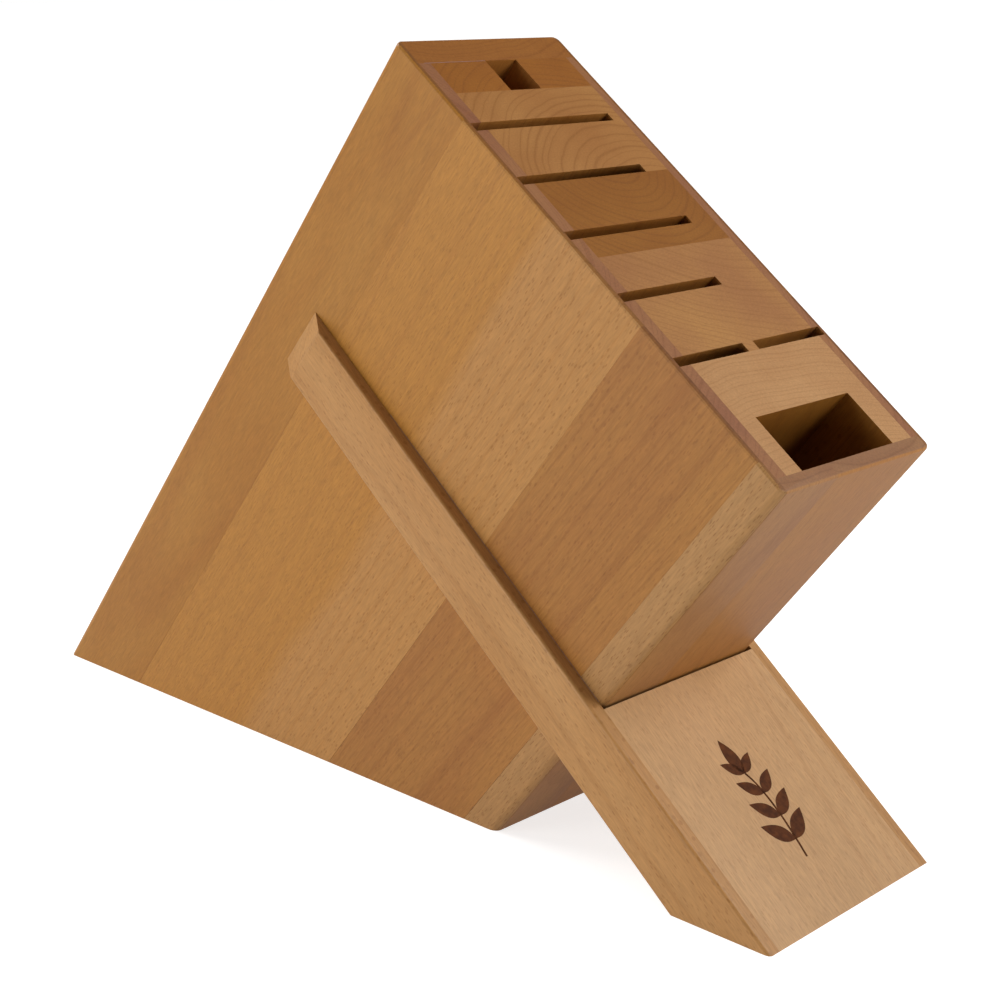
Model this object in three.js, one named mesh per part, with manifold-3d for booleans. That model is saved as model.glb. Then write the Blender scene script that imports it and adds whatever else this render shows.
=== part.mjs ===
import * as THREE from 'three';
import { mergeVertices } from 'three/addons/utils/BufferGeometryUtils.js';
import Module from 'manifold-3d';

// Leaning beech knife block on a forked leg, standing on a table.
// Sizes are in millimetres and angles in degrees. X is the width, the leg is at the -Y end, Z is up.
// The block is drawn square in its own frame and then leans forward: its Y runs from the front face
// to the back face and its Z along the boards, with the origin on the front bottom edge.

// Block as a whole
const LEAN = 38;
const FRONT_LENGTH = 171;
const EDGE_RADIUS = 2.6;
const TOP_EASE = 0.8;
const GLUE_LINE = 0.2;

// Layers across the width, left to right
const PANEL_THICKNESS = 1.8;
const LEFT_LINER_THICKNESS = 4.8;
const RIGHT_LINER_THICKNESS = 3.3;

// Layers from the back face to the front face
const BACK_BOARD_THICKNESS = 11.1;
const STEEL_SPACER_THICKNESS = 14.4;
const CARVER_BOARD_THICKNESS = 41.4;
const CHEF_BOARD_THICKNESS = 32.2;
const UTILITY_BOARD_THICKNESS = 44;
const SHEARS_BOARD_THICKNESS = 42.9;
const FRONT_BOARD_THICKNESS = 5;

// Slots, sawn from one side of the core and closed by the panels. A stop is the wood left uncut at
// the end of a slot, and the bridge is the wood left between the two slots that meet head on
const SLOT_WIDTH = 3.5;
const CARVER_SLOT_SETBACK = 13.6;
const CHEF_SLOT_PITCH = 24;
const UTILITY_SLOT_SETBACK = 14.3;
const CARVER_SLOT_STOP = 4.4;
const CHEF_SLOT_STOP = 10.9;
const UTILITY_SLOT_STOP = 22.3;
const PARING_SLOT_REACH = 28.2;
const FRONT_SLOT_BRIDGE = 5.2;

// Square bore for the honing steel, and pocket for the shears with wood on both sides of it
const STEEL_BORE_WIDTH = 14.2;
const STEEL_BORE_OFFSET = 25.1;
const SHEARS_WIDTH = 46.6;
const SHEARS_DEPTH = 20.6;
const SHEARS_OFFSET = 7.5;
const SHEARS_WALL = 10.2;

// Staves of the outer panels; the wide stave of a side takes the width that the others leave
const SIDE_STAVE_BACK = 37.4;
const SIDE_STAVE_DARK = 52.9;
const SIDE_STAVE_FRONT = 11.5;
const FRONT_STAVE_NARROW = 25.1;

// Forked leg: two rails on the sides of the block and a board between them. The rails' upper edge
// meets the front face at the rail height, and they climb a little steeper than the boards' ends
const RAIL_HEIGHT = 71;
const RAIL_TILT = 1.7;
const RAIL_WIDTH = 23.4;
const RAIL_THICKNESS = 4.9;
const RAIL_END_SETBACK = 24.3;
const RAIL_END_BEVEL = 9.6;
const RAIL_EDGE_RADIUS = 1.2;
const LEG_GAP = 0.8;

// How far a raw prism runs past the face that trims it
const OVERRUN = 12;
const ARC_STEPS = 5;

const HALF_TURN = 180;
const leanAngle = (LEAN * Math.PI) / HALF_TURN;
const tiltAngle = (RAIL_TILT * Math.PI) / HALF_TURN;
const coreWidth = SHEARS_OFFSET + SHEARS_WIDTH + SHEARS_WALL;
const blockWidth = 2 * PANEL_THICKNESS + LEFT_LINER_THICKNESS + coreWidth + RIGHT_LINER_THICKNESS;
const halfWidth = blockWidth / 2;
const coreLeft = -halfWidth + PANEL_THICKNESS + LEFT_LINER_THICKNESS;
const coreRight = coreLeft + coreWidth;
const insideLeft = -halfWidth + PANEL_THICKNESS;
const insideRight = halfWidth - PANEL_THICKNESS;

// Joint planes between the boards, measured forward from the back face
const steelPlane = BACK_BOARD_THICKNESS;
const carverPlane = steelPlane + STEEL_SPACER_THICKNESS;
const chefPlane = carverPlane + CARVER_BOARD_THICKNESS;
const utilityPlane = chefPlane + CHEF_BOARD_THICKNESS;
const shearsPlane = utilityPlane + UTILITY_BOARD_THICKNESS;
const frontPlane = shearsPlane + SHEARS_BOARD_THICKNESS;
const topDepth = frontPlane + FRONT_BOARD_THICKNESS;
const backLength = FRONT_LENGTH + topDepth * Math.tan(leanAngle);

const wasm = await Module();
wasm.setup();

function toSolid(geometry) {
  const bare = geometry.clone();
  bare.deleteAttribute('normal');
  bare.deleteAttribute('uv');
  const merged = mergeVertices(bare, 1e-4);
  const mesh = new wasm.Mesh({
    numProp: 3,
    vertProperties: new Float32Array(merged.attributes.position.array),
    triVerts: new Uint32Array(merged.index.array),
  });
  return new wasm.Manifold(mesh);
}

function toGeometry(solid) {
  const mesh = solid.getMesh();
  const geometry = new THREE.BufferGeometry();
  geometry.setAttribute('position', new THREE.BufferAttribute(mesh.vertProperties, 3));
  geometry.setIndex(new THREE.BufferAttribute(mesh.triVerts, 1));
  const flat = geometry.toNonIndexed();
  flat.computeVertexNormals();
  return flat;
}

function boxBetween(low, high) {
  const size = high.map((value, axis) => value - low[axis]);
  const middle = high.map((value, axis) => (value + low[axis]) / 2);
  return new THREE.BoxGeometry(...size).translate(...middle);
}

function roundedRectangle(x0, x1, y0, y1, radius) {
  const shape = new THREE.Shape();
  const quarter = Math.PI / 2;
  shape.absarc(x1 - radius, y0 + radius, radius, -quarter, 0);
  shape.absarc(x1 - radius, y1 - radius, radius, 0, quarter);
  shape.absarc(x0 + radius, y1 - radius, radius, quarter, 2 * quarter);
  shape.absarc(x0 + radius, y0 + radius, radius, 2 * quarter, 3 * quarter);
  shape.closePath();
  return shape;
}

// Everything below the table top, in the frame of the leaning block
function belowTable() {
  const reach = backLength + topDepth;
  return new THREE.BoxGeometry(reach, 2 * reach, reach)
    .translate(0, 0, -reach / 2)
    .rotateX(-leanAngle);
}

// The whole block as one bar: rounded long edges, eased top edge, foot sawn to the table
function blockForm() {
  const outline = roundedRectangle(-halfWidth, halfWidth, 0, topDepth, EDGE_RADIUS);
  const bar = new THREE.ExtrudeGeometry(outline, {
    depth: backLength + OVERRUN - 2 * TOP_EASE,
    steps: 1,
    curveSegments: ARC_STEPS,
    bevelEnabled: true,
    bevelThickness: TOP_EASE,
    bevelSize: TOP_EASE,
    bevelOffset: -TOP_EASE,
    bevelSegments: 2,
  });
  bar.translate(0, 0, FRONT_LENGTH - backLength - OVERRUN + TOP_EASE);
  return toSolid(bar).subtract(toSolid(belowTable()));
}

const form = blockForm();

// One board of the block: a rectangle in plan, given from the left face and from the back face,
// less half a glue line on every side that meets a neighbour
function board(x0, x1, back, front) {
  const half = GLUE_LINE / 2;
  const left = x0 > -halfWidth ? x0 + half : x0 - OVERRUN;
  const right = x1 < halfWidth ? x1 - half : x1 + OVERRUN;
  const rear = back > 0 ? topDepth - back - half : topDepth + OVERRUN;
  const fore = front < topDepth ? topDepth - front + half : -OVERRUN;
  const low = [left, fore, FRONT_LENGTH - backLength - OVERRUN];
  const high = [right, rear, FRONT_LENGTH + OVERRUN];
  return toSolid(boxBetween(low, high)).intersect(form);
}

// A cut that runs the whole length of the boards
function groove(x0, x1, back, front) {
  const low = [x0, topDepth - front, FRONT_LENGTH - backLength - OVERRUN];
  const high = [x1, topDepth - back, FRONT_LENGTH + OVERRUN];
  return toSolid(boxBetween(low, high));
}

const group = new THREE.Group();
const block = new THREE.Group();
const leg = new THREE.Group();

function addPiece(parent, name, solid, colour, roughness) {
  const material = new THREE.MeshStandardMaterial({ color: colour, roughness, metalness: 0 });
  const mesh = new THREE.Mesh(toGeometry(solid), material);
  mesh.name = name;
  parent.add(mesh);
  return mesh;
}

const beech = {
  pale: '#b88a58',
  orange: '#b27c45',
  red: '#a06c42',
  flecked: '#bb8d59',
  coreDark: '#8f5d33',
  coreLight: '#a97643',
  rose: '#a5775a',
  leg: '#bd9467',
  rail: '#a87a4e',
};
const OILED = 0.45;
const END_GRAIN = 0.6;

function addSidePanel(side, x0, x1) {
  const wideStart = SIDE_STAVE_BACK;
  const foreStart = topDepth - SIDE_STAVE_FRONT;
  const darkStart = foreStart - SIDE_STAVE_DARK;
  const staves = [
    ['back', 0, wideStart, beech.pale],
    ['wide', wideStart, darkStart, beech.orange],
    ['dark', darkStart, foreStart, beech.red],
    ['front', foreStart, topDepth, beech.flecked],
  ];
  for (const [place, back, front, colour] of staves) {
    addPiece(block, `${side}_panel_stave_${place}`, board(x0, x1, back, front), colour, OILED);
  }
}

// Each slot by its back wall and its reach from the core's side; it also cuts the liner on that
// side. A slot is a groove in a board's face that the next board closes, except the utility slot,
// which is sawn into its board
const carverSlot = carverPlane + CARVER_SLOT_SETBACK;
const chefSlot = chefPlane - SLOT_WIDTH;
const secondChefSlot = chefSlot + CHEF_SLOT_PITCH;
const utilitySlot = utilityPlane + UTILITY_SLOT_SETBACK;
const paringSlot = shearsPlane - SLOT_WIDTH;
const steakReach = coreWidth - PARING_SLOT_REACH - FRONT_SLOT_BRIDGE;
const leftSlots = [
  { at: carverSlot, reach: coreWidth - CARVER_SLOT_STOP },
  { at: chefSlot, reach: coreWidth - CHEF_SLOT_STOP },
  { at: secondChefSlot, reach: coreWidth - CHEF_SLOT_STOP },
  { at: utilitySlot, reach: coreWidth - UTILITY_SLOT_STOP },
  { at: paringSlot, reach: PARING_SLOT_REACH },
];
const rightSlots = [{ at: paringSlot, reach: steakReach }];

function leftCut({ at, reach }) {
  return groove(insideLeft - OVERRUN, coreLeft + reach, at, at + SLOT_WIDTH);
}

function rightCut({ at, reach }) {
  return groove(coreRight - reach, insideRight + OVERRUN, at, at + SLOT_WIDTH);
}

const sawCuts = [...leftSlots.map(leftCut), ...rightSlots.map(rightCut)];

function slottedBoard(back, front) {
  let solid = board(coreLeft, coreRight, back, front);
  for (const cut of sawCuts) {
    solid = solid.subtract(cut);
  }
  return solid;
}

// A liner is sawn through by every slot that starts on its side, so it is a row of strips
function addLiner(side, x0, x1, slots) {
  const ends = [steelPlane, ...slots.flatMap(({ at }) => [at, at + SLOT_WIDTH]), frontPlane];
  for (let strip = 0; strip < ends.length / 2; strip += 1) {
    const back = ends[2 * strip] - (strip > 0 ? GLUE_LINE / 2 : 0);
    const last = strip === ends.length / 2 - 1;
    const front = ends[2 * strip + 1] + (last ? 0 : GLUE_LINE / 2);
    const name = `${side}_liner_strip_${strip + 1}`;
    addPiece(block, name, board(x0, x1, back, front), beech.rose, END_GRAIN);
  }
}

function addCore() {
  const back = board(insideLeft, insideRight, 0, steelPlane);
  addPiece(block, 'back_board', back, beech.coreDark, END_GRAIN);
  const boreLeft = coreLeft + STEEL_BORE_OFFSET;
  const boreRight = boreLeft + STEEL_BORE_WIDTH;
  const leftSpacer = board(coreLeft, boreLeft, steelPlane, carverPlane);
  const rightSpacer = board(boreRight, coreRight, steelPlane, carverPlane);
  addPiece(block, 'steel_spacer_left', leftSpacer, beech.coreDark, END_GRAIN);
  addPiece(block, 'steel_spacer_right', rightSpacer, beech.coreDark, END_GRAIN);
  const grooved = [
    ['carver_board_rear', carverPlane, carverSlot, beech.coreLight],
    ['carver_board', carverSlot, chefPlane, beech.coreLight],
    ['chef_board_rear', chefPlane, secondChefSlot, beech.coreDark],
    ['chef_board', secondChefSlot, utilityPlane, beech.coreDark],
    ['utility_board', utilityPlane, shearsPlane, beech.coreLight],
  ];
  for (const [name, rear, fore, colour] of grooved) {
    addPiece(block, name, slottedBoard(rear, fore), colour, END_GRAIN);
  }
  const pocketLeft = coreLeft + SHEARS_OFFSET;
  const pocket = groove(
    pocketLeft,
    pocketLeft + SHEARS_WIDTH,
    frontPlane - SHEARS_DEPTH,
    frontPlane + OVERRUN,
  );
  const shears = slottedBoard(shearsPlane, frontPlane).subtract(pocket);
  addPiece(block, 'shears_board', shears, beech.coreLight, END_GRAIN);
}

function addFrontBoard() {
  const seam = insideLeft + FRONT_STAVE_NARROW;
  const narrow = board(insideLeft, seam, frontPlane, topDepth);
  const wide = board(seam, insideRight, frontPlane, topDepth);
  addPiece(block, 'front_panel_stave_narrow', narrow, beech.red, OILED);
  addPiece(block, 'front_panel_stave_wide', wide, beech.rose, OILED);
}

// The leg has a frame of its own: its origin is where the rails' upper edge meets the front face,
// and its Y climbs along the rails
function toLegFrame(geometry) {
  return geometry.translate(0, 0, -RAIL_HEIGHT).rotateX(-tiltAngle);
}

const legReach = (RAIL_HEIGHT * Math.cos(leanAngle)) / Math.sin(leanAngle + tiltAngle);
const railEnd = (topDepth - RAIL_END_SETBACK) / Math.cos(tiltAngle);
const legLength = railEnd + legReach + OVERRUN;

// A rail drawn on the +X side: eased outer edges, upper end bevelled back to the block
function railSolid() {
  const inner = halfWidth + GLUE_LINE;
  const outer = halfWidth + RAIL_THICKNESS;
  const section = roundedRectangle(
    inner - RAIL_EDGE_RADIUS,
    outer,
    -RAIL_WIDTH,
    0,
    RAIL_EDGE_RADIUS,
  );
  const bar = new THREE.ExtrudeGeometry(section, {
    depth: legLength,
    bevelEnabled: false,
    curveSegments: ARC_STEPS,
  });
  bar.rotateX(Math.PI / 2).translate(0, railEnd, 0);
  const bevelRun = (RAIL_END_BEVEL * (outer + OVERRUN - inner)) / RAIL_THICKNESS;
  const plan = new THREE.Shape();
  plan.moveTo(inner, railEnd - legLength);
  plan.lineTo(outer + OVERRUN, railEnd - legLength);
  plan.lineTo(outer + OVERRUN, railEnd - bevelRun);
  plan.lineTo(inner, railEnd);
  plan.closePath();
  const prism = new THREE.ExtrudeGeometry(plan, { depth: 2 * RAIL_WIDTH, bevelEnabled: false });
  prism.translate(0, 0, OVERRUN - 2 * RAIL_WIDTH);
  return toSolid(bar).intersect(toSolid(prism)).subtract(toSolid(toLegFrame(belowTable())));
}

// The board between the rails stops just short of the block's front face
function legBoardSolid() {
  const low = [-halfWidth, -legReach - OVERRUN, -RAIL_WIDTH];
  const high = [halfWidth, OVERRUN, 0];
  const nearBlock = boxBetween(
    [-blockWidth, -LEG_GAP, -FRONT_LENGTH],
    [blockWidth, topDepth, 2 * FRONT_LENGTH],
  );
  return toSolid(boxBetween(low, high))
    .subtract(toSolid(toLegFrame(nearBlock)))
    .subtract(toSolid(toLegFrame(belowTable())));
}

function addLeg() {
  const rail = railSolid();
  addPiece(leg, 'leg_rail_right', rail, beech.rail, OILED);
  addPiece(leg, 'leg_rail_left', rail.mirror([1, 0, 0]), beech.rail, OILED);
  addPiece(leg, 'leg_board', legBoardSolid(), beech.leg, OILED);
}

addSidePanel('left', -halfWidth, insideLeft);
addSidePanel('right', insideRight, halfWidth);
addCore();
addLiner('left', insideLeft, coreLeft, leftSlots);
addLiner('right', coreRight, insideRight, rightSlots);
addFrontBoard();
addLeg();

// The block and its leg lean together, with the footprint centred on the origin
leg.rotation.x = tiltAngle;
leg.position.z = RAIL_HEIGHT;
block.add(leg);
const heelReach = topDepth / Math.cos(leanAngle);
const toeReach = legReach * Math.cos(leanAngle + tiltAngle) + RAIL_HEIGHT * Math.sin(leanAngle);
block.rotation.x = leanAngle;
block.position.y = (toeReach - heelReach) / 2;
group.add(block);

export default group;
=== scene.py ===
from math import cos, pi, radians, sin, tan

import bmesh
import bpy
from mathutils import Matrix, Vector


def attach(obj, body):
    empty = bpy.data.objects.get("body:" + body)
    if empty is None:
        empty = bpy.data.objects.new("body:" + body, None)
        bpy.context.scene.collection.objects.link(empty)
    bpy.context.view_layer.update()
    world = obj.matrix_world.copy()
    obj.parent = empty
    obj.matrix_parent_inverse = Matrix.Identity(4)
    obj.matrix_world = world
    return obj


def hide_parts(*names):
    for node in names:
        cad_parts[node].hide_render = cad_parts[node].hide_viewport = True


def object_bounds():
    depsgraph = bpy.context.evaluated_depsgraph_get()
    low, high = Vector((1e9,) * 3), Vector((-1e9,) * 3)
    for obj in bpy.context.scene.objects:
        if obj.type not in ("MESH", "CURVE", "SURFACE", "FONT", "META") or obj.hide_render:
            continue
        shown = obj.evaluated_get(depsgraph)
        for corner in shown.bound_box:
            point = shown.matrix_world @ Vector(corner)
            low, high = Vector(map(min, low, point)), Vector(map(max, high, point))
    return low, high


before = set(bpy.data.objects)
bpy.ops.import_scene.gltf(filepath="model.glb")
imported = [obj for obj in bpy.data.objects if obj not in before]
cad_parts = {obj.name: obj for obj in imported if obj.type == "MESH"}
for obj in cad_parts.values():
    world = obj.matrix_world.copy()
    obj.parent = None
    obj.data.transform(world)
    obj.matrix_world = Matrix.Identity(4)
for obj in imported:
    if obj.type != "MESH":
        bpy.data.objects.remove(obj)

cadLow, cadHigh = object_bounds()
scene = bpy.context.scene
mm = 0.001

# The block is thought of in its own square frame, in mm: x across, y from the front face to the
# back face, z up the boards, with the origin on the front bottom edge. It leans forward about x.
block = {
    "lean": 38.0,
    "legTilt": 1.7,
    "width": 76.0,
    "depth": 191.0,
    "frontLength": 171.0,
    "railHeight": 71.0,
}
lean = radians(block["lean"])
legAngle = radians(block["lean"] + block["legTilt"])
frontEdge = cadHigh.y / mm - block["depth"] / cos(lean)
blockToRow = (
    Matrix.Scale(mm, 4)
    @ Matrix.Translation((0, frontEdge, 0))
    @ Matrix.Rotation(lean, 4, "X")
)
legToRow = (
    blockToRow
    @ Matrix.Translation((0, 0, block["railHeight"]))
    @ Matrix.Rotation(legAngle - lean, 4, "X")
)
grainUp = Vector((0, -sin(lean), cos(lean)))
grainAlongLeg = Vector((0, cos(legAngle), sin(legAngle)))


def toLinear(hexColour):
    channels = [int(hexColour[i:i + 2], 16) / 255 for i in (1, 3, 5)]
    linear = [c / 12.92 if c <= 0.04045 else ((c + 0.055) / 1.055) ** 2.4 for c in channels]
    return (*linear, 1.0)


def addNode(tree, kind, settings=None, inputs=None):
    node = tree.nodes.new(kind)
    for name, value in (settings or {}).items():
        setattr(node, name, value)
    for name, value in (inputs or {}).items():
        if isinstance(value, bpy.types.NodeSocket):
            tree.links.new(value, node.inputs[name])
        else:
            node.inputs[name].default_value = value
    return node


# Beech, oiled. A board is sawn from a log: growth rings round a pith, and rays that run out from
# it. The pattern is solid, so one log gives arcs on the end grain, long figure on the faces and
# small flecks across them. To the eye each stave is a warm, satin brown of its own.
wood = {
    "ior": 1.5,
    "shine": 0.28,            # below the usual 0.5, because the oil lies in the pores
    "faceRoughness": 0.42,    # for a log that names no roughness of its own
    "endRoughness": 0.58,
    "wobble": 7.0,            # mm that a ring strays from a true circle
    "wobbleAcross": 34.0,     # mm, size of that stray across the log
    "wobbleAlong": 190.0,     # mm, and along it
    "goodYears": 0.37,        # how soon wide rings follow narrow ones
    "goodYearShift": 2.4,     # rings that a good spell moves the next ones by
    "season": ((0.0, 0.4), (0.14, 0.06), (0.6, 0.0), (0.82, 0.25), (0.93, 0.95), (1.0, 0.4)),
    "rayAlong": 2.9,          # mm between rays along the grain
    "rayAcross": 0.48,        # mm between rays round the ring
    "rayDepth": 26.0,         # mm that a ray runs outwards
    "rayEdge": (0.36, 0.2),   # from outside a ray to inside it
    "rayChance": (0.2, 0.65),  # some of the rays are faint
    "rayHollow": -0.7,        # a ray is planed a little lower than the fibres
    "fibreAcross": 0.6,       # mm, fine streaks across the grain
    "fibreAlong": 5.5,        # mm, and along it
    "fibreSpread": (0.25, 0.75),
    "fibreTone": (0.84, 1.16),
    "cloudAcross": 26.0,      # mm, soft change of tone
    "cloudAlong": 110.0,
    "cloudSpread": (0.3, 0.7),
    "heartTone": (-0.3, 0.45),  # outside the heartwood, and in it
    "endFacingAndEdgeHighlight": (0.82, 0.98),  # how squarely a surface faces the grain to be end grain; set high so the eased edges keep the lighter face tone, partly their oblique long grain and partly a painted highlight
    "endRays": 0.22,
    "reliefStrength": 0.25,
    "reliefDepth": 0.05,      # mm
}


def beech(name, look, grain):
    material = bpy.data.materials.new(name)
    material.use_nodes = True
    tree = material.node_tree
    tree.nodes.clear()
    alongLeg = grain == grainAlongLeg
    turn = legAngle - pi / 2 if alongLeg else lean
    coords = addNode(tree, "ShaderNodeTexCoord")
    square = addNode(tree, "ShaderNodeMapping", {"vector_type": "TEXTURE"}, {
        "Vector": coords.outputs["Object"],
        "Location": (0, frontEdge * mm, 0),
        "Rotation": (turn, 0, 0),
        "Scale": (mm, mm, mm),
    })
    log = addNode(tree, "ShaderNodeMapping", {"vector_type": "TEXTURE"}, {
        "Vector": square.outputs["Vector"],
        "Location": (*look["pith"], 0),
        "Rotation": [radians(a) for a in (*look["drift"], 0)],
    })
    across, along = 1 / wood["wobbleAcross"], 1 / wood["wobbleAlong"]
    strayAt = addNode(tree, "ShaderNodeMapping", {"vector_type": "POINT"}, {
        "Vector": log.outputs["Vector"],
        "Location": (look["seed"], look["seed"] * 0.7, 0),
        "Scale": (across, across, along),
    })
    stray = addNode(tree, "ShaderNodeTexNoise", {}, {
        "Vector": strayAt.outputs["Vector"], "Scale": 1.0, "Detail": 2.0, "Roughness": 0.45,
    })
    strayed = addNode(tree, "ShaderNodeVectorMath", {"operation": "MULTIPLY_ADD"}, {
        0: stray.outputs["Color"],
        1: (wood["wobble"], wood["wobble"], 0),
        2: log.outputs["Vector"],
    })
    flat = addNode(tree, "ShaderNodeVectorMath", {"operation": "MULTIPLY"}, {
        0: strayed.outputs["Vector"], 1: (1, 1, 0),
    })
    radius = addNode(tree, "ShaderNodeVectorMath", {"operation": "LENGTH"}, {
        0: flat.outputs["Vector"],
    })
    yearAt = addNode(tree, "ShaderNodeMath", {"operation": "DIVIDE"}, {
        0: radius.outputs["Value"], 1: look["ring"],
    })
    goodYears = addNode(tree, "ShaderNodeTexNoise", {"noise_dimensions": "1D"}, {
        "W": yearAt.outputs["Value"], "Scale": wood["goodYears"], "Detail": 2.0,
    })
    year = addNode(tree, "ShaderNodeMath", {"operation": "MULTIPLY_ADD"}, {
        0: goodYears.outputs["Fac"], 1: wood["goodYearShift"], 2: yearAt.outputs["Value"],
    })
    season = addNode(tree, "ShaderNodeMath", {"operation": "FRACT"}, {0: year.outputs["Value"]})
    lateWood = addNode(tree, "ShaderNodeValToRGB", {}, {"Fac": season.outputs["Value"]})
    ramp = lateWood.color_ramp
    ramp.interpolation = "EASE"
    for place, value in wood["season"]:
        stop = ramp.elements[0] if place == 0.0 else ramp.elements.new(place)
        stop.position = place
        stop.color = (value, value, value, 1)
    ramp.elements.remove(ramp.elements[-1])

    parts = addNode(tree, "ShaderNodeSeparateXYZ", {}, {"Vector": log.outputs["Vector"]})
    angle = addNode(tree, "ShaderNodeMath", {"operation": "ARCTAN2"}, {
        0: parts.outputs["Y"], 1: parts.outputs["X"],
    })
    trueFlat = addNode(tree, "ShaderNodeVectorMath", {"operation": "MULTIPLY"}, {
        0: log.outputs["Vector"], 1: (1, 1, 0),
    })
    trueRadius = addNode(tree, "ShaderNodeVectorMath", {"operation": "LENGTH"}, {
        0: trueFlat.outputs["Vector"],
    })
    rayVector = addNode(tree, "ShaderNodeCombineXYZ", {}, {
        "X": trueRadius.outputs["Value"], "Y": angle.outputs["Value"], "Z": parts.outputs["Z"],
    })
    rayAt = addNode(tree, "ShaderNodeVectorMath", {"operation": "MULTIPLY"}, {
        0: rayVector.outputs["Vector"],
        1: (1 / wood["rayDepth"], look["reach"] / wood["rayAcross"], 1 / wood["rayAlong"]),
    })
    rays = addNode(tree, "ShaderNodeTexVoronoi", {"voronoi_dimensions": "3D"}, {
        "Vector": rayAt.outputs["Vector"], "Scale": 1.0,
    })
    ray = addNode(tree, "ShaderNodeMapRange", {"interpolation_type": "SMOOTHSTEP"}, {
        "Value": rays.outputs["Distance"],
        "From Min": wood["rayEdge"][0], "From Max": wood["rayEdge"][1],
    })
    rayChance = addNode(tree, "ShaderNodeMapRange", {"interpolation_type": "SMOOTHSTEP"}, {
        "Value": rays.outputs["Color"],
        "From Min": wood["rayChance"][0], "From Max": wood["rayChance"][1],
    })
    fleck = addNode(tree, "ShaderNodeMath", {"operation": "MULTIPLY"}, {
        0: ray.outputs["Result"], 1: rayChance.outputs["Result"],
    })
    fibreAt = addNode(tree, "ShaderNodeVectorMath", {"operation": "MULTIPLY"}, {
        0: log.outputs["Vector"],
        1: (1 / wood["fibreAcross"], 1 / wood["fibreAcross"], 1 / wood["fibreAlong"]),
    })
    fibre = addNode(tree, "ShaderNodeTexNoise", {}, {
        "Vector": fibreAt.outputs["Vector"], "Scale": 1.0, "Detail": 3.0, "Roughness": 0.6,
    })
    cloudAt = addNode(tree, "ShaderNodeMapping", {"vector_type": "POINT"}, {
        "Vector": log.outputs["Vector"],
        "Location": (look["seed"] * 1.9, 0, look["seed"]),
        "Scale": (1 / wood["cloudAcross"], 1 / wood["cloudAcross"], 1 / wood["cloudAlong"]),
    })
    cloud = addNode(tree, "ShaderNodeTexNoise", {}, {
        "Vector": cloudAt.outputs["Vector"], "Scale": 1.0, "Detail": 3.0,
    })

    # The end grain drinks the oil: it is darker, redder and duller than the faces
    facing = addNode(tree, "ShaderNodeVectorMath", {"operation": "DOT_PRODUCT"}, {
        0: coords.outputs["Normal"], 1: grain,
    })
    facingAbs = addNode(tree, "ShaderNodeMath", {"operation": "ABSOLUTE"}, {0: facing.outputs["Value"]})
    # The mask starts only near square end grain. The eased edges therefore keep the lighter face tone:
    # partly the oblique long grain there, and partly a painted highlight along the edges.
    endGrain = addNode(tree, "ShaderNodeMapRange", {"interpolation_type": "SMOOTHSTEP"}, {
        "Value": facingAbs.outputs["Value"],
        "From Min": wood["endFacingAndEdgeHighlight"][0], "From Max": wood["endFacingAndEdgeHighlight"][1],
    })

    toneAt = cloud.outputs["Fac"]
    if "heart" in look:
        heart, fade = look["heart"]
        heartwood = addNode(tree, "ShaderNodeMapRange", {"interpolation_type": "SMOOTHSTEP"}, {
            "Value": radius.outputs["Value"], "From Min": heart + fade, "From Max": heart,
            "To Min": wood["heartTone"][0], "To Max": wood["heartTone"][1],
        })
        cloudAndHeart = addNode(tree, "ShaderNodeMath", {"operation": "ADD"}, {
            0: heartwood.outputs["Result"], 1: cloud.outputs["Fac"],
        })
        toneAt = cloudAndHeart.outputs["Value"]
    cloudy = addNode(tree, "ShaderNodeMapRange", {}, {
        "Value": toneAt, "From Min": wood["cloudSpread"][0], "From Max": wood["cloudSpread"][1],
    })

    # In a colour Mix node, socket 0 is the factor, 6 and 7 are the two colours and 2 is the result
    faceTone = addNode(tree, "ShaderNodeMix", {"data_type": "RGBA"}, {
        0: cloudy.outputs["Result"], 6: toLinear(look["light"]), 7: toLinear(look["warm"]),
    })
    figure = addNode(tree, "ShaderNodeMath", {"operation": "MULTIPLY"}, {
        0: lateWood.outputs["Color"], 1: look["figure"],
    })
    faceRings = addNode(tree, "ShaderNodeMix", {"data_type": "RGBA"}, {
        0: figure.outputs["Value"], 6: faceTone.outputs[2], 7: toLinear(look["late"]),
    })
    faceFlecks = addNode(tree, "ShaderNodeMath", {"operation": "MULTIPLY"}, {
        0: fleck.outputs["Value"], 1: look["flecks"],
    })
    face = addNode(tree, "ShaderNodeMix", {"data_type": "RGBA"}, {
        0: faceFlecks.outputs["Value"], 6: faceRings.outputs[2], 7: toLinear(look["fleck"]),
    })
    endTone = addNode(tree, "ShaderNodeMix", {"data_type": "RGBA"}, {
        0: cloudy.outputs["Result"], 6: toLinear(look["end"]), 7: toLinear(look["endWarm"]),
    })
    endFigure = addNode(tree, "ShaderNodeMath", {"operation": "MULTIPLY"}, {
        0: lateWood.outputs["Color"], 1: look["endFigure"],
    })
    endRings = addNode(tree, "ShaderNodeMix", {"data_type": "RGBA"}, {
        0: endFigure.outputs["Value"], 6: endTone.outputs[2], 7: toLinear(look["endLate"]),
    })
    endRays = addNode(tree, "ShaderNodeMath", {"operation": "MULTIPLY"}, {
        0: fleck.outputs["Value"], 1: wood["endRays"],
    })
    end = addNode(tree, "ShaderNodeMix", {"data_type": "RGBA"}, {
        0: endRays.outputs["Value"], 6: endRings.outputs[2], 7: toLinear(look["light"]),
    })
    colour = addNode(tree, "ShaderNodeMix", {"data_type": "RGBA"}, {
        0: endGrain.outputs["Result"], 6: face.outputs[2], 7: end.outputs[2],
    })
    streak = addNode(tree, "ShaderNodeMapRange", {}, {
        "Value": fibre.outputs["Fac"],
        "From Min": wood["fibreSpread"][0], "From Max": wood["fibreSpread"][1],
        "To Min": wood["fibreTone"][0], "To Max": wood["fibreTone"][1],
    })
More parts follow.
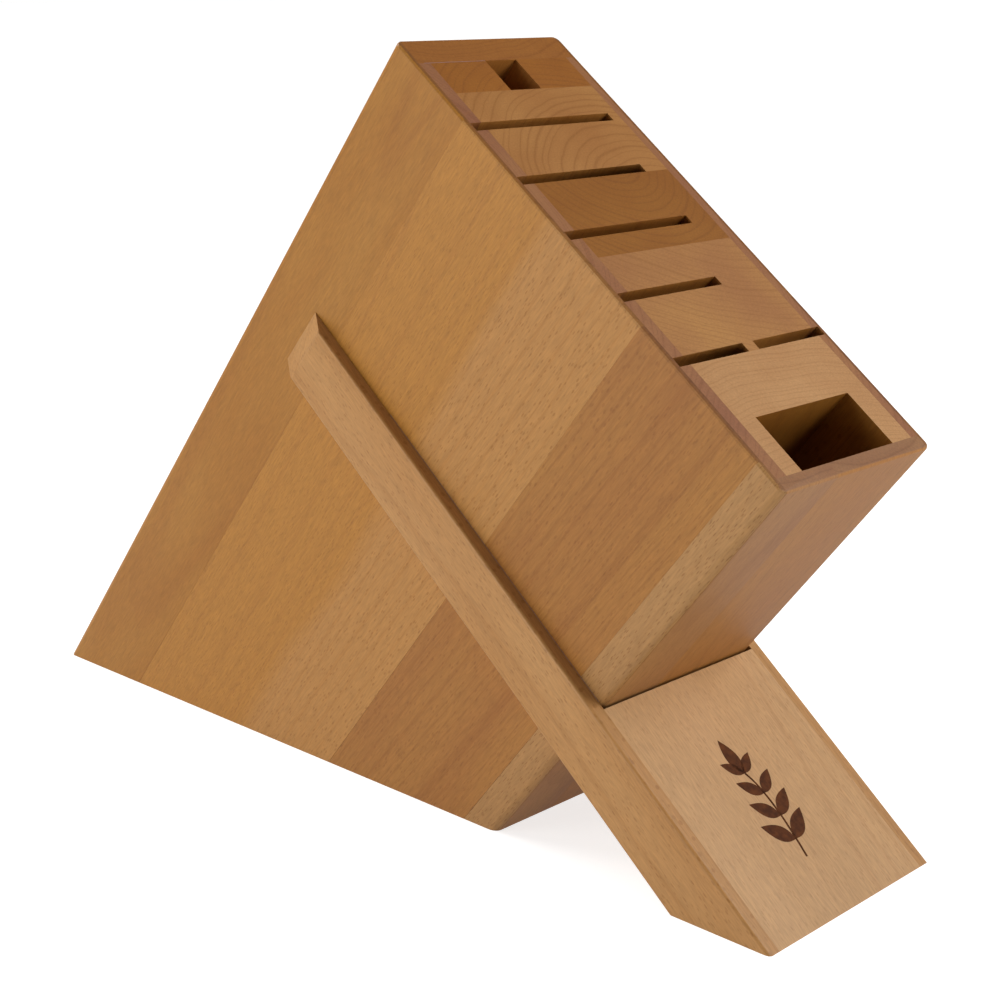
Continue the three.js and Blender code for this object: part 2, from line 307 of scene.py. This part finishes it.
    streaked = addNode(tree, "ShaderNodeVectorMath", {"operation": "SCALE"}, {
        0: colour.outputs[2], "Scale": streak.outputs["Result"],
    })
    gloss = addNode(tree, "ShaderNodeMapRange", {}, {
        "Value": endGrain.outputs["Result"],
        "To Min": look.get("roughness", wood["faceRoughness"]), "To Max": wood["endRoughness"],
    })
    relief = addNode(tree, "ShaderNodeMath", {"operation": "MULTIPLY_ADD"}, {
        0: fleck.outputs["Value"], 1: wood["rayHollow"], 2: fibre.outputs["Fac"],
    })
    bump = addNode(tree, "ShaderNodeBump", {}, {
        "Height": relief.outputs["Value"],
        "Strength": wood["reliefStrength"], "Distance": wood["reliefDepth"] * mm,
    })
    surface = addNode(tree, "ShaderNodeBsdfPrincipled", {}, {
        "Base Color": streaked.outputs["Vector"],
        "Roughness": gloss.outputs["Result"],
        "IOR": wood["ior"],
        "Specular IOR Level": wood["shine"],
        "Normal": bump.outputs["Normal"],
    })
    addNode(tree, "ShaderNodeOutputMaterial", {}, {"Surface": surface.outputs["BSDF"]})
    return material


def fromTop(across, setback):
    return (across - block["width"] / 2, block["depth"] - setback)


# Logs, in mm: where the pith of each board's tree lies, how it drifts, how far its rings stand
# apart, how far the board is from the pith, and its tones on the faces and on the end grain
logs = {
    "pale": {
        "pith": (34, 176), "drift": (2.4, -1.0), "ring": 4.2, "reach": 70, "seed": 1.3,
        "light": "#A46C28", "warm": "#AE7933", "late": "#996024", "fleck": "#88501B",
        "figure": 0.35, "flecks": 0.2,
        "end": "#865626", "endWarm": "#804F22", "endLate": "#6D4017", "endFigure": 0.5,
    },
    "orange": {
        "pith": (36, 168), "drift": (1.2, 0.9), "ring": 3.6, "reach": 84, "seed": 4.1,
        "heart": (82, 18),
        "light": "#B48044", "warm": "#B17932", "late": "#A2692B", "fleck": "#8B561F",
        "figure": 0.3, "flecks": 0.42,
        "end": "#865626", "endWarm": "#804F22", "endLate": "#6D4017", "endFigure": 0.5,
    },
    "red": {
        "pith": (20, -70), "drift": (1.0, 1.4), "ring": 3.1, "reach": 120, "seed": 8.6,
        "light": "#A97436", "warm": "#9D652F", "late": "#8B5523", "fleck": "#7A471B",
        "figure": 0.35, "flecks": 0.3,
        "end": "#7D4D22", "endWarm": "#744623", "endLate": "#653817", "endFigure": 0.5,
    },
    "flecked": {
        "pith": (60, 30), "drift": (0.6, 0.4), "ring": 3.4, "reach": 98, "seed": 12.2,
        "light": "#AE814E", "warm": "#A77A48", "late": "#9C6B39", "fleck": "#805125",
        "figure": 0.2, "flecks": 0.6,
        "end": "#865626", "endWarm": "#804F22", "endLate": "#6D4017", "endFigure": 0.5,
    },
    "back": {
        "pith": fromTop(30, -120), "drift": (0.5, 0.5), "ring": 3.0, "reach": 120, "seed": 3.3,
        "light": "#A56C31", "warm": "#9C6327", "late": "#8D5520", "fleck": "#7D481A",
        "figure": 0.3, "flecks": 0.4,
        "end": "#986026", "endWarm": "#905822", "endLate": "#7E4818", "endFigure": 0.42,
    },
    "spacer": {
        "pith": fromTop(52, 66), "drift": (0.5, 0.5), "ring": 2.8, "reach": 55, "seed": 6.4,
        "light": "#A56C31", "warm": "#9C6327", "late": "#8D5520", "fleck": "#7D481A",
        "figure": 0.3, "flecks": 0.4,
        "end": "#975D1C", "endWarm": "#8E551B", "endLate": "#7A4414", "endFigure": 0.42,
    },
    "carver": {
        "pith": fromTop(62, 84), "drift": (0.4, 0.6), "ring": 3.2, "reach": 40, "seed": 2.2,
        "light": "#A46E33", "warm": "#9C642A", "late": "#895220", "fleck": "#7A461A",
        "figure": 0.3, "flecks": 0.4,
        "end": "#A9763F", "endWarm": "#9E6935", "endLate": "#855323", "endFigure": 0.5,
    },
    "chef": {
        "pith": fromTop(50, 52), "drift": (0.4, 0.2), "ring": 3.0, "reach": 34, "seed": 5.7,
        "light": "#996129", "warm": "#8F5822", "late": "#7E491A", "fleck": "#6F3C13",
        "figure": 0.3, "flecks": 0.4,
        "end": "#945F21", "endWarm": "#8A541A", "endLate": "#754212", "endFigure": 0.42,
    },
    "utility": {
        "pith": fromTop(100, -4), "drift": (0.4, 0.2), "ring": 2.4, "reach": 120, "seed": 9.1,
        "light": "#A46E33", "warm": "#9C642A", "late": "#895220", "fleck": "#7A461A",
        "figure": 0.3, "flecks": 0.4,
        "end": "#AD7B44", "endWarm": "#9E6B3E", "endLate": "#8A592D", "endFigure": 0.42,
    },
    "shears": {
        "pith": fromTop(30, 330), "drift": (0.4, 0.2), "ring": 1.7, "reach": 170, "seed": 10.4,
        "light": "#986526", "warm": "#915B20", "late": "#7C4713", "fleck": "#6E3C0F",
        "figure": 0.3, "flecks": 0.4,
        "end": "#B98B5B", "endWarm": "#AE7E4F", "endLate": "#9A6A3D", "endFigure": 0.42,
    },
    "liner": {
        "pith": fromTop(-70, 60), "drift": (0.4, 0.2), "ring": 2.2, "reach": 110, "seed": 7.7,
        "light": "#9C6731", "warm": "#925D33", "late": "#7B4922", "fleck": "#6F3E18",
        "figure": 0.3, "flecks": 0.4,
        "end": "#996841", "endWarm": "#8D5B3D", "endLate": "#7B492C", "endFigure": 0.42,
    },
    "frontNarrow": {
        "pith": (-20, 90), "drift": (1.5, 0.7), "ring": 3.0, "reach": 88, "seed": 14.9,
        "light": "#A57542", "warm": "#9B693E", "late": "#88572E", "fleck": "#704522",
        "figure": 0.3, "flecks": 0.35,
        "end": "#936742", "endWarm": "#8A5D3E", "endLate": "#774B2E", "endFigure": 0.5,
        "roughness": 0.55,
    },
    "frontWide": {
        "pith": (14, 84), "drift": (1.8, 0.5), "ring": 3.4, "reach": 80, "seed": 16.1,
        "light": "#A97438", "warm": "#9F6831", "late": "#8B5926", "fleck": "#77451B",
        "figure": 0.3, "flecks": 0.35,
        "end": "#946A45", "endWarm": "#8B6040", "endLate": "#784D30", "endFigure": 0.5,
        "roughness": 0.55,
    },
    "rail": {
        "pith": (96, -20), "drift": (0.6, 0.7), "ring": 3.0, "reach": 70, "seed": 18.2,
        "light": "#B78853", "warm": "#AE7C46", "late": "#9C6935", "fleck": "#865426",
        "figure": 0.3, "flecks": 0.35,
        "end": "#8C5B2B", "endWarm": "#855427", "endLate": "#73431B", "endFigure": 0.5,
    },
    "leg": {
        "pith": (-6, 70), "drift": (0.8, 1.1), "ring": 3.6, "reach": 76, "seed": 20.6,
        "light": "#C69B6C", "warm": "#BB905F", "late": "#AF7F4E", "fleck": "#9A6A3D",
        "figure": 0.3, "flecks": 0.3,
        "end": "#8C5B2B", "endWarm": "#855427", "endLate": "#73431B", "endFigure": 0.5,
    },
}

# Which log each board comes from
boardLogs = {
    "back_board": "back", "steel_spacer_left": "spacer", "steel_spacer_right": "spacer",
    "carver_board": "carver", "carver_board_rear": "carver", "chef_board": "chef",
    "chef_board_rear": "chef", "utility_board": "utility",
    "shears_board": "shears", "front_panel_stave_narrow": "frontNarrow",
    "front_panel_stave_wide": "frontWide", "leg_board": "leg",
    "leg_rail_left": "rail", "leg_rail_right": "rail",
}
for side in ("left", "right"):
    for place, log in (("back", "pale"), ("wide", "orange"), ("dark", "red"), ("front", "flecked")):
        boardLogs[f"{side}_panel_stave_{place}"] = log
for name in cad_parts:
    if "liner" in name:
        boardLogs[name] = "liner"

woods = {}
for key, look in logs.items():
    grain = grainAlongLeg if key in ("rail", "leg") else grainUp
    woods[key] = beech(f"beech_{key}", look, grain)
print("beech mixed for", len(woods), "logs")

# Boards come from the frame. The hairline between two glued boards is closed to a joint that shows
# only as a change of wood, and arrises are left crisp where a plane or saw made them.
joinery = {
    "glueLine": (0.15, 0.25),  # mm, a gap between these widths is a glued joint
    "left": 0.01,             # mm left between the boards
    "outerSkin": 1.0,         # mm under an outer face, where no joint lies
    "weld": 0.002,            # mm, corners closer than this are one
    "flat": 0.5,              # degrees, faces closer than this are one
    "sharpAbove": 32.0,       # degrees, softer edges than this shade as one rounded surface
}


def jointPlanes(values):
    ordered = sorted({round(value, 2) for value in values})
    low, high = ordered[0] + joinery["outerSkin"], ordered[-1] - joinery["outerSkin"]
    inside = [value for value in ordered if low < value < high]
    thinnest, widest = joinery["glueLine"]
    pairs = [(a, b) for a in inside for b in inside if thinnest < b - a < widest]
    return sorted({round((a + b) / 2, 3) for a, b in pairs})


def ownFrame(name):
    return legToRow if name.startswith("leg_") else blockToRow


def planesOf(family):
    corners = []
    for name in family:
        toOwn = ownFrame(name).inverted()
        points = [toOwn @ vertex.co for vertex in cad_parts[name].data.vertices]
        for pick in (min, max):
            corners.append([pick(point[axis] for point in points) for axis in range(2)])
    return [jointPlanes(corner[axis] for corner in corners) for axis in range(2)]


legPieces = [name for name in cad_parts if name.startswith("leg_")]
blockPieces = [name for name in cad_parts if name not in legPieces]
legPlanes, blockPlanes = planesOf(legPieces), planesOf(blockPieces)
legPlanes[1] = []  # the leg's boards meet side by side only


def closeJoints(bm, name):
    own = ownFrame(name)
    planes = legPlanes if name in legPieces else blockPlanes
    foot = [vertex for vertex in bm.verts if vertex.co.z < joinery["left"] * mm]
    bm.transform(own.inverted())
    for vertex in bm.verts:
        for axis in range(2):
            for plane in planes[axis]:
                away = vertex.co[axis] - plane
                if abs(away) < joinery["glueLine"][1] / 2:
                    vertex.co[axis] = plane + joinery["left"] / 2 * (1 if away > 0 else -1)
    bm.transform(own)
    for vertex in foot:
        vertex.co.z = 0.0  # the foot stays level with the table


def finishBoard(name):
    bm = bmesh.new()
    bm.from_mesh(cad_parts[name].data)
    bmesh.ops.remove_doubles(bm, verts=bm.verts, dist=joinery["weld"] * mm)
    closeJoints(bm, name)
    bmesh.ops.dissolve_limit(
        bm, angle_limit=radians(joinery["flat"]), verts=bm.verts, edges=bm.edges)
    mesh = bpy.data.meshes.new(name + "_board")
    bm.to_mesh(mesh)
    bm.free()
    mesh.shade_smooth()
    mesh.set_sharp_from_angle(angle=radians(joinery["sharpAbove"]))
    mesh.materials.append(woods[boardLogs[name]])
    piece = bpy.data.objects.new(name + "_board", mesh)
    scene.collection.objects.link(piece)
    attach(piece, "root")
    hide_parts(name)
    return piece


boards = {name: finishBoard(name) for name in sorted(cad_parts)}
print("boards finished:", len(boards))


def newTree(name, sockets):
    tree = bpy.data.node_groups.new(name, "GeometryNodeTree")
    tree.interface.new_socket("Geometry", in_out="INPUT", socket_type="NodeSocketGeometry")
    tree.interface.new_socket("Geometry", in_out="OUTPUT", socket_type="NodeSocketGeometry")
    for label, kind in sockets:
        tree.interface.new_socket(label, in_out="INPUT", socket_type="NodeSocket" + kind)
    return tree, addNode(tree, "NodeGroupInput").outputs


def closeTree(tree, geometry, material):
    whole = addNode(tree, "GeometryNodeRealizeInstances", {}, {"Geometry": geometry})
    dressed = addNode(tree, "GeometryNodeSetMaterial", {}, {
        "Geometry": whole.outputs["Geometry"], "Material": material,
    })
    addNode(tree, "NodeGroupOutput", {}, {"Geometry": dressed.outputs["Geometry"]})


def grow(name, tree, values, start, place):
    carrier = bpy.data.objects.new(name + "_start", start)
    scene.collection.objects.link(carrier)
    modifier = carrier.modifiers.new(name, "NODES")
    modifier.node_group = tree
    for item in tree.interface.items_tree:
        if item.in_out == "INPUT" and item.name in values:
            modifier[item.identifier] = values[item.name]
    evaluated = carrier.evaluated_get(bpy.context.evaluated_depsgraph_get())
    mesh = bpy.data.meshes.new_from_object(evaluated)
    carrier.modifiers.remove(modifier)
    bpy.data.objects.remove(carrier)
    mesh.name = name
    mesh.transform(place)
    piece = bpy.data.objects.new(name, mesh)
    scene.collection.objects.link(piece)
    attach(piece, "root")
    return piece


beads = {
    "colour": "#8A6A66", "roughness": 0.35, "ior": 1.48,
    "radius": 0.09,           # mm
    "slimmest": 0.6,          # share of the radius where a bead is thinnest
    "uneven": 0.6,
    "step": 0.8,              # mm between the rings of a bead
    "wander": 0.12,           # mm that a bead strays from its joint
    "waver": 0.35,            # how soon it strays and swells, per mm
    "sides": 6,
    "backRun": (-34.0, -6.5),  # mm across, left of the bore
    "railRun": (2.0, 120.0),  # mm from the front
    "squeezed": 0.05,         # mm that the glue stands out of a rail's joint
}


# Wood glue, dried: a pale lilac-grey film with a slight shine, seen as hairlines along some joints
def driedGlue():
    material = bpy.data.materials.new("wood_glue_dried")
    material.use_nodes = True
    surface = material.node_tree.nodes["Principled BSDF"]
    surface.inputs["Base Color"].default_value = toLinear(beads["colour"])
    surface.inputs["Roughness"].default_value = beads["roughness"]
    surface.inputs["IOR"].default_value = beads["ior"]
    return material


def beadTree(material):
    tree, given = newTree("glueBeads", [
        ("Radius", "Float"), ("Unevenness", "Float"), ("Step", "Float"), ("Wander", "Float"),
    ])
    paths = addNode(tree, "GeometryNodeMeshToCurve", {}, {"Mesh": given["Geometry"]})
    even = addNode(tree, "GeometryNodeResampleCurve", {"mode": "LENGTH"}, {
        "Curve": paths.outputs["Curve"], "Length": given["Step"],
    })
    noise = addNode(tree, "ShaderNodeTexNoise", {}, {"Scale": beads["waver"], "Detail": 2.0})
    centred = addNode(tree, "ShaderNodeVectorMath", {"operation": "SUBTRACT"}, {
        0: noise.outputs["Color"], 1: (0.5, 0.5, 0.5),
    })
    drift = addNode(tree, "ShaderNodeVectorMath", {"operation": "SCALE"}, {
        0: centred.outputs["Vector"], "Scale": given["Wander"],
    })
    strayed = addNode(tree, "GeometryNodeSetPosition", {}, {
        "Geometry": even.outputs["Curve"], "Offset": drift.outputs["Vector"],
    })
    swell = addNode(tree, "ShaderNodeMath", {"operation": "MULTIPLY_ADD"}, {
        0: noise.outputs["Fac"], 1: given["Unevenness"], 2: beads["slimmest"],
    })
    thick = addNode(tree, "ShaderNodeMath", {"operation": "MULTIPLY"}, {
        0: swell.outputs["Value"], 1: given["Radius"],
    })
    ring = addNode(tree, "GeometryNodeCurvePrimitiveCircle", {}, {
        "Resolution": beads["sides"], "Radius": 1.0,
    })
    tube = addNode(tree, "GeometryNodeCurveToMesh", {}, {
        "Curve": strayed.outputs["Geometry"], "Profile Curve": ring.outputs["Curve"],
        "Scale": thick.outputs["Value"], "Fill Caps": True,
    })
    closeTree(tree, tube.outputs["Mesh"], material)
    return tree


def pathMesh(paths):
    points = [point for path in paths for point in path]
    lines = [(2 * i, 2 * i + 1) for i in range(len(paths))]
    mesh = bpy.data.meshes.new("paths")
    mesh.from_pydata(points, lines, [])
    return mesh


def addGlueBeads():
    backJoint, top = max(blockPlanes[1]), block["frontLength"]
    tree = beadTree(driedGlue())
    paths = [[(x, backJoint, top) for x in beads["backRun"]]]
    rise = tan(legAngle - lean)
    low = block["railHeight"] + beads["squeezed"]
    for side in (-1, 1):
        x = side * (block["width"] / 2 + beads["squeezed"])
        paths.append([(x, y, low + y * rise) for y in beads["railRun"]])
    grow("glue_beads", tree, {
        "Radius": beads["radius"], "Unevenness": beads["uneven"],
        "Step": beads["step"], "Wander": beads["wander"],
    }, pathMesh(paths), blockToRow)


addGlueBeads()
print("glue beads run")


sprig = {
    "place": (-3.0, -46.0),   # mm from the middle of the leg and from its upper end
    "length": 44.0, "bend": 4.0, "pairs": 4,
    "leafLength": 13.0, "leafWidth": 5.4, "stem": 0.8,
    "belly": 0.28,            # a leaf is widest nearer its stalk
    "leafCorners": 40, "stemCorners": 24,
    "bareStem": 0.2,          # share of the stem below the first leaves
    "tipSmaller": 0.3,        # share by which the last leaves are smaller
    "splay": (38, 142),       # degrees, right and left leaves
    "lastLeaf": 95,           # degrees
    "thick": 0.3, "proud": 0.03,
    "charred": "#48240B", "singed": "#643514",
    "charSpread": (0.35, 0.7),
    "mottle": 0.45,           # patches per mm
    "roughness": 0.7, "shine": 0.15,
}


# Beech scorched by a branding iron: the fibres are charred to a dark chocolate brown, dull and
# slightly uneven, paler where the iron pressed less
def scorchedBeech():
    material = bpy.data.materials.new("beech_scorched")
    material.use_nodes = True
    tree = material.node_tree
    surface = tree.nodes["Principled BSDF"]
    coords = addNode(tree, "ShaderNodeTexCoord")
    noise = addNode(tree, "ShaderNodeTexNoise", {}, {
        "Vector": coords.outputs["Object"], "Scale": sprig["mottle"] / mm, "Detail": 4.0,
    })
    tone = addNode(tree, "ShaderNodeValToRGB", {}, {"Fac": noise.outputs["Fac"]})
    for stop, place, shade in zip(tone.color_ramp.elements, sprig["charSpread"], ("charred", "singed")):
        stop.position = place
        stop.color = toLinear(sprig[shade])
    tree.links.new(tone.outputs["Color"], surface.inputs["Base Color"])
    surface.inputs["Roughness"].default_value = sprig["roughness"]
    surface.inputs["Specular IOR Level"].default_value = sprig["shine"]
    return material


def sprigTree(material):
    tree, given = newTree("brandedSprig", [
        ("Length", "Float"), ("Bend", "Float"), ("Pairs", "Int"), ("Leaf Length", "Float"),
        ("Leaf Width", "Float"), ("Stem", "Float"), ("Thickness", "Float"),
    ])

    # A leaf: a disc drawn out to two points, lying along +X from its stalk
    disc = addNode(tree, "GeometryNodeMeshCylinder", {}, {
        "Vertices": sprig["leafCorners"], "Radius": 1.0, "Depth": given["Thickness"],
    })
    position = addNode(tree, "GeometryNodeInputPosition")
    at = addNode(tree, "ShaderNodeSeparateXYZ", {}, {"Vector": position.outputs["Position"]})
    sideways = addNode(tree, "ShaderNodeMath", {"operation": "ABSOLUTE"}, {0: at.outputs["Y"]})
    pointed = addNode(tree, "ShaderNodeMath", {"operation": "MULTIPLY"}, {
        0: at.outputs["Y"], 1: sideways.outputs["Value"],
    })
    belly = addNode(tree, "ShaderNodeMath", {"operation": "MULTIPLY_ADD"}, {
        0: at.outputs["X"], 1: -sprig["belly"], 2: 1.0,
    })
    outline = addNode(tree, "ShaderNodeMath", {"operation": "MULTIPLY"}, {
        0: pointed.outputs["Value"], 1: belly.outputs["Value"],
    })
    halfWidth = addNode(tree, "ShaderNodeMath", {"operation": "MULTIPLY"}, {
        0: given["Leaf Width"], 1: 0.5,
    })
    fromStalk = addNode(tree, "ShaderNodeMath", {"operation": "MULTIPLY_ADD"}, {
        0: at.outputs["X"], 1: 0.5, 2: 0.5,
    })
    leafX = addNode(tree, "ShaderNodeMath", {"operation": "MULTIPLY"}, {
        0: fromStalk.outputs["Value"], 1: given["Leaf Length"],
    })
    leafY = addNode(tree, "ShaderNodeMath", {"operation": "MULTIPLY"}, {
        0: outline.outputs["Value"], 1: halfWidth.outputs["Value"],
    })
    leafAt = addNode(tree, "ShaderNodeCombineXYZ", {}, {
        "X": leafX.outputs["Value"], "Y": leafY.outputs["Value"], "Z": at.outputs["Z"],
    })
    leaf = addNode(tree, "GeometryNodeSetPosition", {}, {
        "Geometry": disc.outputs["Mesh"], "Position": leafAt.outputs["Vector"],
    })

    # The stem, a gentle bow that stops one leaf short of the tip
    halfLength = addNode(tree, "ShaderNodeMath", {"operation": "MULTIPLY"}, {
        0: given["Length"], 1: 0.5,
    })
    foot = addNode(tree, "ShaderNodeMath", {"operation": "MULTIPLY"}, {
        0: halfLength.outputs["Value"], 1: -1.0,
    })
    head = addNode(tree, "ShaderNodeMath", {"operation": "SUBTRACT"}, {
        0: halfLength.outputs["Value"], 1: given["Leaf Length"],
    })
    footAt = addNode(tree, "ShaderNodeCombineXYZ", {}, {"Y": foot.outputs["Value"]})
    bowAt = addNode(tree, "ShaderNodeCombineXYZ", {}, {"X": given["Bend"]})
    headAt = addNode(tree, "ShaderNodeCombineXYZ", {}, {"Y": head.outputs["Value"]})
    stem = addNode(tree, "GeometryNodeCurveQuadraticBezier", {}, {
        "Resolution": sprig["stemCorners"], "Start": footAt.outputs["Vector"],
        "Middle": bowAt.outputs["Vector"], "End": headAt.outputs["Vector"],
    })
    strip = addNode(tree, "GeometryNodeCurvePrimitiveQuadrilateral", {}, {
        "Width": given["Stem"], "Height": given["Thickness"],
    })
    stalk = addNode(tree, "GeometryNodeCurveToMesh", {}, {
        "Curve": stem.outputs["Curve"], "Profile Curve": strip.outputs["Curve"], "Fill Caps": True,
    })

    # Pairs of leaves up the stem, smaller towards the tip, and one leaf at the end. Sockets 2 and 3
    # of Trim Curve are its two ends as shares of the length.
    trimmed = addNode(tree, "GeometryNodeTrimCurve", {}, {
        "Curve": stem.outputs["Curve"], 2: sprig["bareStem"], 3: 1.0,
    })
    nodesOnStem = addNode(tree, "GeometryNodeResampleCurve", {}, {
        "Curve": trimmed.outputs["Curve"], "Count": given["Pairs"],
    })
    spline = addNode(tree, "GeometryNodeSplineParameter")
    shrink = addNode(tree, "ShaderNodeMath", {"operation": "MULTIPLY_ADD"}, {
        0: spline.outputs["Factor"], 1: -sprig["tipSmaller"], 2: 1.0,
    })
    leafScale = addNode(tree, "ShaderNodeCombineXYZ", {}, {
        "X": shrink.outputs["Value"], "Y": shrink.outputs["Value"], "Z": 1.0,
    })
    joined = addNode(tree, "GeometryNodeJoinGeometry")
    tree.links.new(stalk.outputs["Mesh"], joined.inputs[0])
    for turn in sprig["splay"]:
        leaves = addNode(tree, "GeometryNodeInstanceOnPoints", {}, {
            "Points": nodesOnStem.outputs["Curve"], "Instance": leaf.outputs["Geometry"],
            "Rotation": (0, 0, radians(turn)), "Scale": leafScale.outputs["Vector"],
        })
        tree.links.new(leaves.outputs["Instances"], joined.inputs[0])
    atHead = addNode(tree, "GeometryNodeCurveEndpointSelection", {}, {"Start Size": 0, "End Size": 1})
    lastLeaf = addNode(tree, "GeometryNodeInstanceOnPoints", {}, {
        "Points": nodesOnStem.outputs["Curve"], "Instance": leaf.outputs["Geometry"],
        "Selection": atHead.outputs["Selection"], "Rotation": (0, 0, radians(sprig["lastLeaf"])),
    })
    tree.links.new(lastLeaf.outputs["Instances"], joined.inputs[0])
    closeTree(tree, joined.outputs["Geometry"], material)
    return tree


def addSprig():
    start = bpy.data.meshes.new("start")
    lift = sprig["proud"] - sprig["thick"] / 2
    place = legToRow @ Matrix.Translation((*sprig["place"], lift))
    piece = grow("branded_sprig", sprigTree(scorchedBeech()), {
        "Length": sprig["length"], "Bend": sprig["bend"], "Pairs": sprig["pairs"],
        "Leaf Length": sprig["leafLength"], "Leaf Width": sprig["leafWidth"],
        "Stem": sprig["stem"], "Thickness": sprig["thick"],
    }, start, place)


addSprig()
print("sprig branded on the leg")

studio = {
    "floorSize": 120.0,       # m
    "floorColour": "#BEBEBE",
    "floorRoughness": 0.9, "floorShine": 0.1,
    "floorGlow": 0.76,        # the table is lit from below, so that it goes white
    "floorBounce": 0.36,      # what of that glow reaches the object
    "skyLight": 0.08,
    "aim": (0, 0, 0.12),      # where the softboxes point, m
    "key": {"place": (0.6, -0.95, 0.86), "size": 0.8, "power": 14.5},
    "side": {"place": (-1.5, 0.62, 0.5), "size": 1.1, "power": 12.6},
    "back": {"from": (-0.1, 0.75, 0.66), "spread": 50.0, "power": 2.45},
}


# A light table: a matt white sheet that glows enough to lose its edges
def makeFloor():
    half = studio["floorSize"] / 2
    corners = [(-half, -half, 0), (half, -half, 0), (half, half, 0), (-half, half, 0)]
    mesh = bpy.data.meshes.new("floor")
    mesh.from_pydata(corners, [], [(0, 1, 2, 3)])
    floor = bpy.data.objects.new("floor", mesh)
    scene.collection.objects.link(floor)
    material = bpy.data.materials.new("lightTable")
    material.use_nodes = True
    surface = material.node_tree.nodes["Principled BSDF"]
    surface.inputs["Base Color"].default_value = toLinear(studio["floorColour"])
    surface.inputs["Roughness"].default_value = studio["floorRoughness"]
    surface.inputs["Specular IOR Level"].default_value = studio["floorShine"]
    surface.inputs["Emission Color"].default_value = (1, 1, 1, 1)
    tree = material.node_tree
    path = addNode(tree, "ShaderNodeLightPath")
    glow = addNode(tree, "ShaderNodeMapRange", {}, {
        "Value": path.outputs["Is Camera Ray"],
        "To Min": studio["floorBounce"], "To Max": studio["floorGlow"],
    })
    tree.links.new(glow.outputs["Result"], surface.inputs["Emission Strength"])
    mesh.materials.append(material)


def makeSky():
    world = bpy.data.worlds.new("studio")
    world.use_nodes = True
    tree = world.node_tree
    tree.nodes.clear()
    path = addNode(tree, "ShaderNodeLightPath")
    strength = addNode(tree, "ShaderNodeMapRange", {}, {
        "Value": path.outputs["Is Camera Ray"], "To Min": studio["skyLight"], "To Max": 1.0,
    })
    sky = addNode(tree, "ShaderNodeBackground", {}, {
        "Color": (1, 1, 1, 1), "Strength": strength.outputs["Result"],
    })
    addNode(tree, "ShaderNodeOutputWorld", {}, {"Surface": sky.outputs["Background"]})
    scene.world = world


def makeSoftbox(name, box):
    light = bpy.data.lights.new(name, "AREA")
    light.shape = "SQUARE"
    light.size = box["size"]
    light.energy = box["power"]
    lamp = bpy.data.objects.new(name, light)
    lamp.location = box["place"]
    aim = Vector(studio["aim"]) - lamp.location
    lamp.rotation_euler = aim.to_track_quat("-Z", "Y").to_euler()
    scene.collection.objects.link(lamp)


def makeBackLight(light):
    lamp = bpy.data.lights.new("back", "SUN")
    lamp.energy = light["power"]
    lamp.angle = radians(light["spread"])
    sun = bpy.data.objects.new("back", lamp)
    sun.rotation_euler = (-Vector(light["from"])).to_track_quat("-Z", "Y").to_euler()
    scene.collection.objects.link(sun)


makeFloor()
makeSky()
for name in ("key", "side"):
    makeSoftbox(name, studio[name])
makeBackLight(studio["back"])

eye = {
    "lens": 67.27, "shift": (0.0934, -0.0292), "place": (-0.4525, -0.4492, 0.2664),
    "azimuth": -44.31, "elevation": 14.32, "roll": -0.28,
}


def makeCamera():
    data = bpy.data.cameras.new("camera")
    data.lens = eye["lens"]
    data.shift_x, data.shift_y = eye["shift"]
    camera = bpy.data.objects.new("camera", data)
    camera.matrix_world = (
        Matrix.Translation(eye["place"])
        @ Matrix.Rotation(radians(eye["azimuth"]), 4, "Z")
        @ Matrix.Rotation(radians(90 - eye["elevation"]), 4, "X")
        @ Matrix.Rotation(radians(eye["roll"]), 4, "Z")
    )
    scene.collection.objects.link(camera)
    scene.camera = camera


makeCamera()
scene.view_settings.view_transform = "Standard"
print("studio lit, camera placed")
